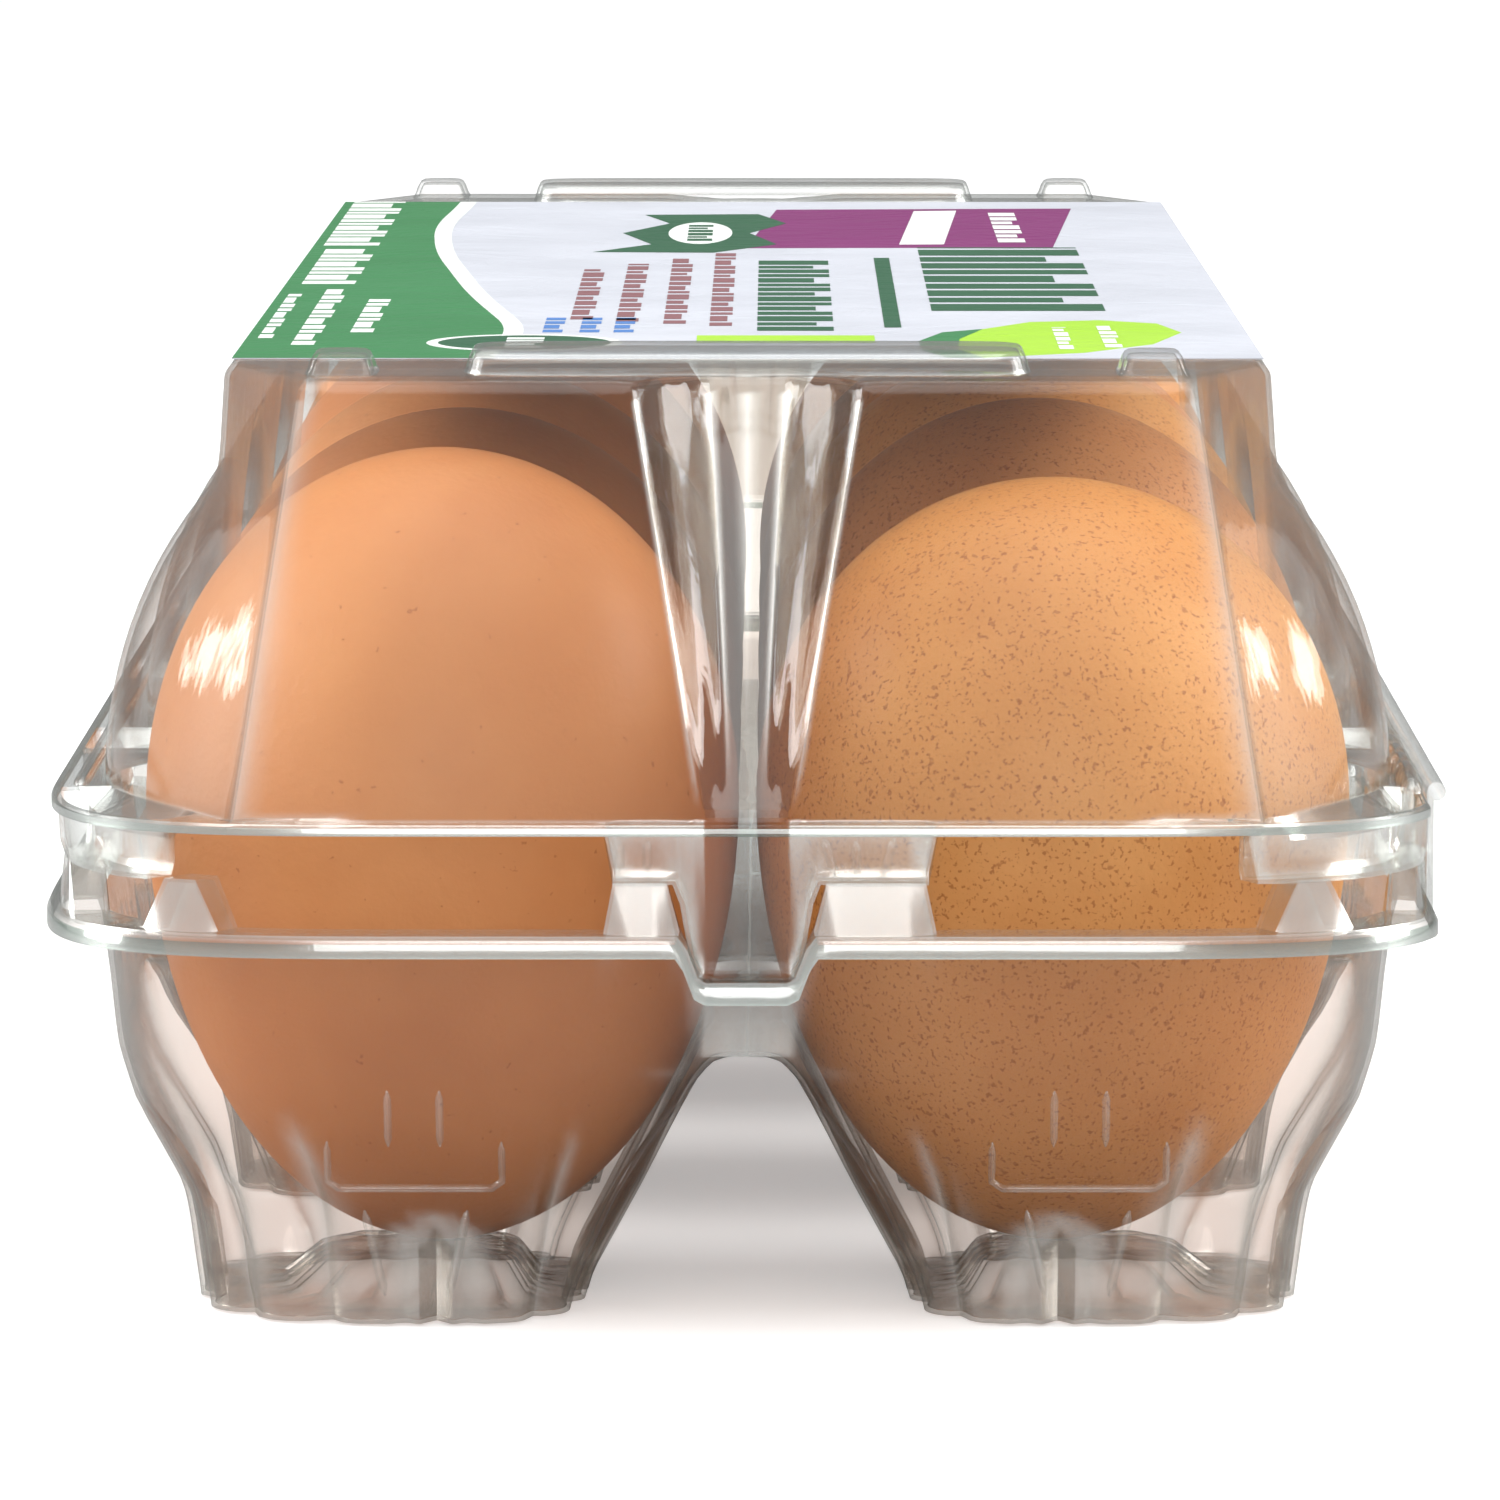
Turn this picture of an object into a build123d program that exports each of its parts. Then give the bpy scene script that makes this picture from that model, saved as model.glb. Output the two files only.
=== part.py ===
from build123d import *
import os
from math import cos, radians, sin, sqrt

# Clear formed-plastic egg carton for two columns of eggs. It stands on the feet of its cells.
# X runs across, with the hinge at +X and the latch at -X. Y runs along the rows. Z is up, 0 is the table.

# ---- eggs ----
ROWS = 5
EGG_RADIUS = 22.4  # at the widest ring
EGG_BLUNT = 26.4  # widest ring up to the blunt end
EGG_POINT = 33.6  # widest ring down to the pointed end
EGG_STAND = 3.4  # pointed end above the table
EGG_PLAY = 4.0  # how far an egg can rise under the closed lid
ROW_GAP = 2.2  # between eggs along the carton
COLUMN_GAP = 1.2  # between the two columns

# ---- formed sheet ----
SHEET = 0.5
EGG_CLEAR = 0.35  # from an egg to the cell ridges
SIDE_CLEAR = 2.5  # from an egg's widest ring to the outer walls
ROOF_CLEAR = 2.0  # from a risen egg to the roof
OVAL_STEP = 30  # degrees between the points of an oval outline

# ---- tray ----
RIDGE_Z = 20.5  # underside of the ridges between cells
KNEE_Z = 8.5  # where the outer walls turn down into the feet
RIM_Z = 30.2  # top of the tray flange
WALL_TAPER = 1.0  # outer wall's draft from the rim to the ridge
KNEE_CLEAR_SHARED = 3.1  # egg to a shared wall at the knee
KNEE_CLEAR_OPEN = 7.6  # egg to an outer wall at the knee
FOOT_TAPER_SHARED = 4.2
FOOT_TAPER_OPEN = 1.1
RIDGE_CHAMFER = 5.0
KNEE_CHAMFER = 7.0
FOOT_CHAMFER = 8.0
BASIN_CHAMFER = 9.0  # outer corners of the rim

# ---- flanges, lugs and the gap between them ----
VENT = 8.4  # tray flange's top to the lid flange's underside
FLANGE = 3.6  # width of both flanges
FLANGE_RADIUS = 18.6
LUG_INSET = 0.8  # lug's outer face behind the flange's edge
TRAY_LUG_RISE = 3.8
LUG_SEAT = 0.4  # between a tray lug's top and the lid lug above it
CENTRE_LUG_LEFT = 9.9
CENTRE_LUG_RIGHT = 13.4
CORNER_LUG_WIDTH = 4.0
CORNER_LUG_REACH = 14.0  # from the egg axis to the lug's end, towards the outside
SIDE_LUG_HALF = 6.0
CORNER_SIDE_LUG_NEAR = 7.5  # end row's egg axis to the side lug near the corner
CORNER_SIDE_LUG_FAR = 13.5

# ---- centre tongue of the lid in the trough of the tray, at each end ----
TROUGH_TOP_HALF = 4.9
TROUGH_BOTTOM_HALF = 3.1
TROUGH_DEPTH = 3.4
TONGUE_CLEAR = 0.4

# ---- latch nibs on the -X side ----
NIB_LENGTH = 5.0
NIB_WIDTH = 1.3
NIB_HEIGHT = 1.8
NIB_CLEAR = 0.35

# ---- hinge on the +X side ----
CREASE_RADIUS = 0.7
CREASE_GAP = 0.3  # lid flange to the crease bead
BEAD_RADIUS = 0.85  # stiffening bead on the lid flange, beside the crease
BEAD_SEGMENTS = 3
BEAD_BREAK = 4.0  # between bead segments
HINGE_SETBACK = 1.0  # hinge strip's end to where the flange's corners begin to round

# ---- lid ----
PANEL_REACH = 4.6  # egg's side to the foot of the end panel
PANEL_LEAN = 13.0  # end panel's lean from the flange to the roof
PILLAR_REACH = 18.3  # egg axis to the side pillars at the flange
PILLAR_LEAN = 2.1
PANEL_FOOT_CUT = (4.1, 12.0)  # corner facets at the flange, across and along
PANEL_TOP_CUT = (6.6, 16.0)  # and at the roof
DOME_DROP = 1.3  # top of a dome below the roof
SAIL_SETBACK = 1.2  # flat front of an end dome behind the end panel
NO_CUT = (0.6, 0.6)  # token corner cut where an outline is square
VALLEY_HALF = 8.6  # groove between the two columns in each end panel
VALLEY_DEPTH = 7.0
VALLEY_DROP = 2.2  # top of the groove below the roof
PAD_RISE = 1.6  # stacking pads on the roof
PAD_SETBACK = 1.5
BRIDGE_HALF = 21.0
BRIDGE_LENGTH = 13.0
BUMP_INNER = 27.5
BUMP_WIDTH = 5.0
BUMP_LENGTH = 7.0

# ---- label ----
LABEL_FILM = 0.15
LABEL_MARGIN = 0.4  # label's side edge to the roof's edge
LABEL_GAP = 1.2  # label's end to the stacking bridge

# ---- worked out from the values above ----
ROW_PITCH = 2 * EGG_RADIUS + ROW_GAP
COLUMN_X = EGG_RADIUS + COLUMN_GAP / 2
LAST_ROW_Y = (ROWS - 1) / 2 * ROW_PITCH
ROW_YS = [ROW_PITCH * i - LAST_ROW_Y for i in range(ROWS)]
ROW_BORDERS = [y + ROW_PITCH / 2 for y in ROW_YS[:-1]]
EGG_WIDEST_Z = EGG_STAND + EGG_POINT
ROOF_Z = EGG_WIDEST_Z + EGG_BLUNT + EGG_PLAY + ROOF_CLEAR + SHEET
LID_Z = RIM_Z + VENT
WALL_REACH = EGG_RADIUS + SIDE_CLEAR + SHEET  # egg axis to the outer wall at both rims
WALL_X = COLUMN_X + WALL_REACH
WALL_Y = LAST_ROW_Y + WALL_REACH
EDGE_X = WALL_X + FLANGE  # latch edge, at -X, and the crease's outside, at +X
EDGE_Y = WALL_Y + FLANGE
HINGE_X = EDGE_X - CREASE_RADIUS
WEB_X = HINGE_X - CREASE_RADIUS  # inner face of the upright hinge strip
LID_EDGE_X = WEB_X - CREASE_GAP
LUG_OUT_X = WALL_X + FLANGE - LUG_INSET
LUG_OUT_X_HINGE = LID_EDGE_X - CREASE_GAP
LUG_OUT_Y = EDGE_Y - LUG_INSET
TRAY_LUG_Z = RIM_Z + TRAY_LUG_RISE
LID_LUG_Z = TRAY_LUG_Z + LUG_SEAT


def egg_radius_at(z):
    """Radius of an egg at height z."""
    half = EGG_BLUNT if z > EGG_WIDEST_Z else EGG_POINT
    return EGG_RADIUS * sqrt(1 - ((z - EGG_WIDEST_Z) / half) ** 2)


RIDGE_SHARED = egg_radius_at(RIDGE_Z + SHEET) + EGG_CLEAR + SHEET
KNEE_SHARED = egg_radius_at(KNEE_Z) + KNEE_CLEAR_SHARED
KNEE_OPEN = egg_radius_at(KNEE_Z) + KNEE_CLEAR_OPEN
# each level of a cell: height, reach to a shared wall, reach to an outer wall, chamfer, outer chamfer
RIDGE = (RIDGE_Z, RIDGE_SHARED, WALL_REACH - WALL_TAPER, RIDGE_CHAMFER, BASIN_CHAMFER)
KNEE = (KNEE_Z, KNEE_SHARED, KNEE_OPEN, KNEE_CHAMFER, KNEE_CHAMFER)
FOOT = (0, KNEE_SHARED - FOOT_TAPER_SHARED, KNEE_OPEN - FOOT_TAPER_OPEN, FOOT_CHAMFER, FOOT_CHAMFER)


def octagon(xs, ys, cuts, z, inset=0):
    """Flat eight-sided outline at height z. cuts are the (x, y) corner cuts, from low-low and on round."""
    x0, x1 = xs[0] + inset, xs[1] - inset
    y0, y1 = ys[0] + inset, ys[1] - inset
    kept = inset * (2 - sqrt(2))  # keeps the wall even across a cut corner
    (a, b), (c, d), (e, f), (g, h) = [(u - kept, v - kept) for u, v in cuts]
    with BuildSketch(Plane.XY.offset(z)) as outline:
        Polygon(
            (x0 + a, y0),
            (x1 - c, y0),
            (x1, y0 + d),
            (x1, y1 - f),
            (x1 - e, y1),
            (x0 + g, y1),
            (x0, y1 - h),
            (x0, y0 + b),
        )
    return outline.sketch


def cell_outline(side, row, level, inset=0, lift=0):
    """Outline of one egg cell at one level. side is -1 for the latch column, +1 for the hinge column."""
    z, shared, outer, chamfer, outer_chamfer = level
    x, y = side * COLUMN_X, ROW_YS[row]
    xs = (x - outer, x + shared) if side < 0 else (x - shared, x + outer)
    first, last = row == 0, row == ROWS - 1
    ys = (y - (outer if first else shared), y + (outer if last else shared))
    at_corner = [side < 0 and first, side > 0 and first, side > 0 and last, side < 0 and last]
    cuts = [(outer_chamfer,) * 2 if corner else (chamfer,) * 2 for corner in at_corner]
    return octagon(xs, ys, cuts, z + lift, inset)


def basin_outline(reach_cut, z, inset=0):
    """Outline round all the cells, reach_cut inside the walls' place at the rim."""
    xs = (reach_cut - WALL_X, WALL_X - reach_cut)
    ys = (reach_cut - WALL_Y, WALL_Y - reach_cut)
    return octagon(xs, ys, [(BASIN_CHAMFER,) * 2] * 4, z, inset)


def block_outline(reach_x, reach_y, cut, z, inset=0):
    """Outline of the lid's flat-topped block."""
    return octagon((-reach_x, reach_x), (-reach_y, reach_y), [cut] * 4, z, inset)


def box_outline(xs, ys, z, inset=0):
    """Flat rectangle at height z."""
    with BuildSketch(Plane.XY.offset(z)) as outline:
        with Locations(((xs[0] + xs[1]) / 2, (ys[0] + ys[1]) / 2)):
            Rectangle(xs[1] - xs[0] - 2 * inset, ys[1] - ys[0] - 2 * inset)
    return outline.sketch


def flange_outline(right_x, z):
    """Flange outline with rounded corners, from the latch edge to right_x."""
    with BuildSketch(Plane.XY.offset(z)) as outline:
        with Locations(((right_x - EDGE_X) / 2, 0)):
            RectangleRounded(right_x + EDGE_X, 2 * EDGE_Y, FLANGE_RADIUS)
    return outline.sketch


def span(low, high, sign):
    """A span from low to high, or its mirror image."""
    return (low, high) if sign > 0 else (-high, -low)


# Lugs stand on the flanges, in pairs, one of the tray under one of the lid. The gaps between them
# are the windows that air the eggs. Each lug is (x span, y span), flush with the basin's inside.
WALL_IN_X, WALL_IN_Y = WALL_X - SHEET, WALL_Y - SHEET
CORNER_LUG_OUT = COLUMN_X + CORNER_LUG_REACH
SIDE_LUG_Y = LAST_ROW_Y + CORNER_SIDE_LUG_NEAR, LAST_ROW_Y + CORNER_SIDE_LUG_FAR
ENDS = [(end, span(WALL_IN_Y, LUG_OUT_Y, end)) for end in (-1, 1)]
SIDES = [(-1, span(WALL_IN_X, LUG_OUT_X, -1)), (1, (WALL_IN_X, LUG_OUT_X_HINGE))]
latch_lugs = [(SIDES[0][1], (y - SIDE_LUG_HALF, y + SIDE_LUG_HALF)) for y in ROW_BORDERS]
outer_lugs = latch_lugs + [(SIDES[1][1], ys) for _, ys in latch_lugs]
outer_lugs += [(xs, span(*SIDE_LUG_Y, end)) for _, xs in SIDES for end, _ in ENDS]
corner_lug_xs = [span(CORNER_LUG_OUT - CORNER_LUG_WIDTH, CORNER_LUG_OUT, side) for side, _ in SIDES]
outer_lugs += [(xs, ys) for xs in corner_lug_xs for _, ys in ENDS]
tray_centre_lugs = []
for _, ys in ENDS:
    tray_centre_lugs.append(((-CENTRE_LUG_LEFT, -TROUGH_TOP_HALF - SHEET), ys))
    tray_centre_lugs.append(((TROUGH_TOP_HALF + SHEET, CENTRE_LUG_RIGHT), ys))
lid_centre_lugs = [((-CENTRE_LUG_LEFT, CENTRE_LUG_RIGHT), ys) for _, ys in ENDS]
TROUGH_Z = RIM_Z - TROUGH_DEPTH


# ---- tray: the basin with its cells, flange, lugs and end troughs, formed from one sheet ----
with BuildPart() as tray:
    extrude(flange_outline(WEB_X, RIM_Z - SHEET), amount=SHEET)
    loft([basin_outline(WALL_TAPER, RIDGE_Z), basin_outline(0, RIM_Z)], ruled=True)
    for side, _ in SIDES:
        for row in range(ROWS):
            loft([cell_outline(side, row, level) for level in (FOOT, KNEE, RIDGE)], ruled=True)
    for xs, ys in outer_lugs + tray_centre_lugs:
        extrude(box_outline(xs, ys, RIM_Z - SHEET), amount=TRAY_LUG_RISE + SHEET)
    for _, ys in ENDS:
        loft([
            box_outline((-TROUGH_BOTTOM_HALF - SHEET, TROUGH_BOTTOM_HALF + SHEET), ys, TROUGH_Z - SHEET),
            box_outline((-TROUGH_TOP_HALF - SHEET, TROUGH_TOP_HALF + SHEET), ys, RIM_Z),
        ])
    loft(
        [basin_outline(WALL_TAPER, RIDGE_Z + SHEET, SHEET), basin_outline(0, RIM_Z, SHEET)],
        ruled=True,
        mode=Mode.SUBTRACT,
    )
    for side, _ in SIDES:
        for row in range(ROWS):
            foot = cell_outline(side, row, FOOT, SHEET, SHEET)
            knee = cell_outline(side, row, KNEE, SHEET)
            ridge = cell_outline(side, row, RIDGE, SHEET, SHEET)
            loft([foot, knee, ridge], ruled=True, mode=Mode.SUBTRACT)
    for xs, ys in outer_lugs + tray_centre_lugs:
        hollow = box_outline(xs, ys, RIM_Z - 2 * SHEET, SHEET)
        extrude(hollow, amount=TRAY_LUG_RISE + SHEET, mode=Mode.SUBTRACT)
    for _, ys in ENDS:
        hollow = ys[0] + SHEET, ys[1] - SHEET
        loft([
            box_outline((-TROUGH_BOTTOM_HALF, TROUGH_BOTTOM_HALF), hollow, TROUGH_Z),
            box_outline((-TROUGH_TOP_HALF, TROUGH_TOP_HALF), hollow, RIM_Z),
        ], mode=Mode.SUBTRACT)
    for xs, ys in latch_lugs:
        with BuildSketch(Plane.XY.offset(TRAY_LUG_Z)):
            with Locations(((xs[0] + xs[1]) / 2, (ys[0] + ys[1]) / 2)):
                Rectangle(NIB_WIDTH, NIB_LENGTH)
        extrude(amount=NIB_HEIGHT)
tray.part.label = "tray"


# ---- hinge strip: the upright web between the flanges, with the crease bead that the lid turns on ----
HINGE_HALF = EDGE_Y - FLANGE_RADIUS - HINGE_SETBACK
with BuildPart() as hinge_strip:
    web = box_outline((WEB_X, WEB_X + SHEET), (-HINGE_HALF, HINGE_HALF), RIM_Z - SHEET)
    extrude(web, amount=VENT + SHEET)
    with BuildSketch(Plane.XZ.offset(-HINGE_HALF)):
        with Locations((HINGE_X, LID_Z)):
            Circle(CREASE_RADIUS)
    extrude(amount=2 * HINGE_HALF)
hinge_strip.part.label = "hinge_strip"


# ---- lid: a flat-topped block with a dome over each egg, on its own flange ----
BLOCK_X, BLOCK_Y = COLUMN_X + PILLAR_REACH, LAST_ROW_Y + EGG_RADIUS + PANEL_REACH
ROOF_X, ROOF_Y = BLOCK_X - PILLAR_LEAN, BLOCK_Y - PANEL_LEAN
VALLEY_Z = ROOF_Z - VALLEY_DROP
PAD_Y = ROOF_Y - PAD_SETBACK


def block_outlines(inset):
    """The flat-topped block's outlines at the flange and at the roof."""
    foot = octagon((-BLOCK_X, BLOCK_X), (-BLOCK_Y, BLOCK_Y), [PANEL_FOOT_CUT] * 4, LID_Z, inset)
    roof = octagon((-ROOF_X, ROOF_X), (-ROOF_Y, ROOF_Y), [PANEL_TOP_CUT] * 4, ROOF_Z - inset, inset)
    return [foot, roof]


def valley_top(end, extra):
    """Top of the tapered groove in an end panel. extra is the sheet that lines the groove."""
    mouth, apex = BLOCK_Y * end, (ROOF_Y - VALLEY_DEPTH - extra) * end
    half = (VALLEY_HALF + extra) * (BLOCK_Y - ROOF_Y + VALLEY_DEPTH) / VALLEY_DEPTH
    with BuildSketch(Plane.XY.offset(VALLEY_Z + extra)) as top:
        Polygon((-half, mouth), (half, mouth), (0, apex))
    return top.sketch


def oval_profile(radius, rise, drop, z):
    """Half outline, beside the Z axis, of an oval widest at z. It is cut off flat there if drop is 0."""
    first = -90 if drop else 0
    angles = [radians(a) for a in range(first, 91, OVAL_STEP)]
    points = [(radius * cos(a), z + (rise if a > 0 else drop) * sin(a)) for a in angles]
    start_tangent = (1, 0) if drop else (0, 1)
    with BuildSketch(Plane.XZ) as profile:
        with BuildLine():
            side = Spline(*points, tangents=(start_tangent, (-1, 0)))
            if drop:
                Line(side @ 1, side @ 0)
            else:
                Polyline(side @ 1, (0, z), side @ 0)
        make_face()
    return profile.sketch


def sail_outlines(inset):
    """Outlines at the flange and the roof that cut the domes level with the end panels."""
    outlines = []
    for reach, z in ((BLOCK_Y - SAIL_SETBACK, LID_Z), (ROOF_Y - SAIL_SETBACK, ROOF_Z)):
        outlines.append(octagon((-WALL_X, WALL_X), (-reach, reach), [NO_CUT] * 4, z, inset))
    return outlines


with BuildPart() as block:
    loft(block_outlines(0), ruled=True)
    for end, _ in ENDS:
        loft([Vertex(0, (BLOCK_Y - SHEET) * end, LID_Z), valley_top(end, 0)], mode=Mode.SUBTRACT)

with BuildPart() as block_hollow:
    loft(block_outlines(SHEET), ruled=True)
    for end, _ in ENDS:
        loft([Vertex(0, (BLOCK_Y - 2 * SHEET) * end, LID_Z), valley_top(end, SHEET)], mode=Mode.SUBTRACT)


egg_axes = [(side * COLUMN_X, y) for side, _ in SIDES for y in ROW_YS]
DOME_RISE = ROOF_Z - DOME_DROP - LID_Z

with BuildPart() as dome:
    revolve(oval_profile(WALL_REACH, DOME_RISE, 0, LID_Z), axis=Axis.Z)

with BuildPart() as dome_hollow:
    revolve(oval_profile(WALL_REACH - SHEET, DOME_RISE - SHEET, 0, LID_Z), axis=Axis.Z)

with BuildPart() as domes:
    with Locations(*egg_axes):
        add(dome.part)
    loft(sail_outlines(0), ruled=True, mode=Mode.INTERSECT)

with BuildPart() as dome_hollows:
    with Locations(*egg_axes):
        add(dome_hollow.part)
    loft(sail_outlines(SHEET), ruled=True, mode=Mode.INTERSECT)

pads = []
for end, _ in ENDS:
    pads.append(((-BRIDGE_HALF, BRIDGE_HALF), span(PAD_Y - BRIDGE_LENGTH, PAD_Y, end)))
    bump_ys = span(PAD_Y - BUMP_LENGTH, PAD_Y, end)
    pads += [(span(BUMP_INNER, BUMP_INNER + BUMP_WIDTH, side), bump_ys) for side, _ in SIDES]

with BuildPart() as lid:
    extrude(flange_outline(LID_EDGE_X, LID_Z), amount=SHEET)
    add(block.part)
    add(domes.part)
    for xs, ys in pads:
        extrude(box_outline(xs, ys, ROOF_Z - SHEET), amount=PAD_RISE + SHEET)
    add(block_hollow.part, mode=Mode.SUBTRACT)
    add(dome_hollows.part, mode=Mode.SUBTRACT)
    for xs, ys in pads:
        extrude(box_outline(xs, ys, ROOF_Z - 2 * SHEET, SHEET), amount=PAD_RISE + SHEET, mode=Mode.SUBTRACT)
    for xs, ys in outer_lugs + lid_centre_lugs:
        extrude(box_outline(xs, ys, LID_LUG_Z), amount=LID_Z + SHEET - LID_LUG_Z)
    for _, ys in ENDS:
        seated = ys[0] + SHEET + TONGUE_CLEAR, ys[1] - SHEET - TONGUE_CLEAR
        top_half, bottom_half = TROUGH_TOP_HALF - TONGUE_CLEAR, TROUGH_BOTTOM_HALF - TONGUE_CLEAR
        loft([
            box_outline((-bottom_half, bottom_half), seated, TROUGH_Z + TONGUE_CLEAR),
            box_outline((-top_half, top_half), seated, LID_LUG_Z + SHEET),
        ])
    for xs, ys in outer_lugs + lid_centre_lugs:
        hollow = box_outline(xs, ys, LID_LUG_Z + SHEET, SHEET)
        extrude(hollow, amount=LID_Z + SHEET - LID_LUG_Z, mode=Mode.SUBTRACT)
    for xs, ys in latch_lugs:
        with BuildSketch(Plane.XY.offset(LID_LUG_Z - SHEET)):
            with Locations(((xs[0] + xs[1]) / 2, (ys[0] + ys[1]) / 2)):
                Rectangle(NIB_WIDTH + 2 * NIB_CLEAR, NIB_LENGTH + 2 * NIB_CLEAR)
        extrude(amount=3 * SHEET, mode=Mode.SUBTRACT)
    bead_length = (2 * HINGE_HALF - (BEAD_SEGMENTS - 1) * BEAD_BREAK) / BEAD_SEGMENTS
    for i in range(BEAD_SEGMENTS):
        start = (bead_length + BEAD_BREAK) * i - HINGE_HALF
        with BuildSketch(Plane.XZ.offset(-start)):
            with Locations((LID_EDGE_X - BEAD_RADIUS, LID_Z + SHEET)):
                Circle(BEAD_RADIUS)
            with Locations((LID_EDGE_X - BEAD_RADIUS, LID_Z + SHEET / 2 - BEAD_RADIUS)):
                Rectangle(4 * BEAD_RADIUS, 2 * BEAD_RADIUS, mode=Mode.SUBTRACT)
        extrude(amount=-bead_length)
lid.part.label = "lid"


# ---- label: a thin printed film on the roof, between the stacking bridges ----
LABEL_X, LABEL_Y = ROOF_X - LABEL_MARGIN, PAD_Y - BRIDGE_LENGTH - LABEL_GAP
with BuildPart() as label:
    extrude(box_outline((-LABEL_X, LABEL_X), (-LABEL_Y, LABEL_Y), ROOF_Z), amount=LABEL_FILM)
label.part.label = "label"


# ---- eggs: blunt end up, each standing in its own cell ----
eggs = []
for row, y in enumerate(ROW_YS, start=1):
    for side, name in ((-1, "left"), (1, "right")):
        with BuildPart() as egg:
            revolve(oval_profile(EGG_RADIUS, EGG_BLUNT, EGG_POINT, EGG_WIDEST_Z), axis=Axis.Z)
        egg.part.locate(Location((side * COLUMN_X, y, 0)))
        egg.part.label = f"egg_row{row}_{name}"
        eggs.append(egg.part)


os.makedirs("parts", exist_ok=True)
for piece in [tray.part, hinge_strip.part, lid.part, label.part, *eggs]:
    export_step(piece, f"parts/{piece.label}.step")
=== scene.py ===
import math
import bmesh
import bpy
import numpy as np
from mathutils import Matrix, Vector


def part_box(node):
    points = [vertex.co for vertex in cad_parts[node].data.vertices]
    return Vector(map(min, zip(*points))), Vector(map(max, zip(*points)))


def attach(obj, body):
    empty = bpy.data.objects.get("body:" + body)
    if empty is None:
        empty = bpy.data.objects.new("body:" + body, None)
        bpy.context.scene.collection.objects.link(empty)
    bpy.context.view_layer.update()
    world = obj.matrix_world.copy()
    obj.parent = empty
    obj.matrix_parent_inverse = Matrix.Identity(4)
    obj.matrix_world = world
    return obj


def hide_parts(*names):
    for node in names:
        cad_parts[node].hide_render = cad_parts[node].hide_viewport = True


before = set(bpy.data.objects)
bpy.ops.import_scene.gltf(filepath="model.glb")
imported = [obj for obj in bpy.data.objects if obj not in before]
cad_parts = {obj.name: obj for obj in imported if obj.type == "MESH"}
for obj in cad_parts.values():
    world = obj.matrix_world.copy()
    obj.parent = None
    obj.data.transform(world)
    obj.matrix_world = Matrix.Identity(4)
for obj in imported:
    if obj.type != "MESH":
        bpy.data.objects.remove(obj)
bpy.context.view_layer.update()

# ---------------------------------------------------------------- eggs
# Ten brown hen's eggs, extra large, each standing blunt end up in its own cell.
# The shell is chalk with a thin matt bloom, tinted and speckled differently on every egg.
MM = 0.001  # sizes are written in millimetres and multiplied by this
EGG_NAMES = [(row, side, f"egg_row{row}_{side}") for row in range(1, 6) for side in ("left", "right")]
EGG_WIDEST = 37.0 * MM  # height of the widest ring above the table
EGG_EASE = 0.1 * MM  # shell inside its solid
BLUNTNESS = (1, 0.915, 0.96, 0.99, 0.94, 1, 0.985, 0.93, 1, 0.96)  # blunt end's share of the tallest egg's
FRECKLES = {  # scale, threshold, softness and strength of each size of freckle
    "left": [(1500.0, 0.70, 0.06, 0.5)],
    "right": [(2900.0, 0.585, 0.08, 0.68), (1300.0, 0.655, 0.05, 0.55)],
}
SHELL_TINTS = [  # light and dark tone of each kind of shell
    ((0.61, 0.252, 0.088), (0.53, 0.198, 0.064)),
    ((0.65, 0.30, 0.094), (0.55, 0.225, 0.058)),
    ((0.57, 0.225, 0.074), (0.48, 0.172, 0.054)),
    ((0.62, 0.272, 0.094), (0.52, 0.205, 0.064)),
]


def clear_selection():
    if bpy.context.object and bpy.context.object.mode != "OBJECT":
        bpy.ops.object.mode_set(mode="OBJECT")
    bpy.ops.object.select_all(action="DESELECT")


def take(obj):
    """Makes obj the one selected and active object."""
    clear_selection()
    obj.select_set(True)
    bpy.context.view_layer.objects.active = obj


def finish_piece(obj, name, angle=35):
    """Names a piece, puts its place into its mesh and smooths it up to the given edge angle."""
    take(obj)
    obj.name = name
    obj.data.name = name
    bpy.ops.object.transform_apply(location=True, rotation=True, scale=True)
    bpy.ops.object.shade_smooth_by_angle(angle=math.radians(angle))
    return obj


def node(tree, kind, **settings):
    """Adds a shader node. Settings named in_X_Y set the socket called "X Y"."""
    made = tree.nodes.new(kind)
    for key, value in settings.items():
        if key.startswith("in_"):
            made.inputs[key[3:].replace("_", " ")].default_value = value
        else:
            setattr(made, key, value)
    return made


def new_material(name):
    made = bpy.data.materials.new(name)
    made.use_nodes = True
    made.node_tree.nodes.clear()
    out = made.node_tree.nodes.new("ShaderNodeOutputMaterial")
    return made, made.node_tree, out


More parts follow.
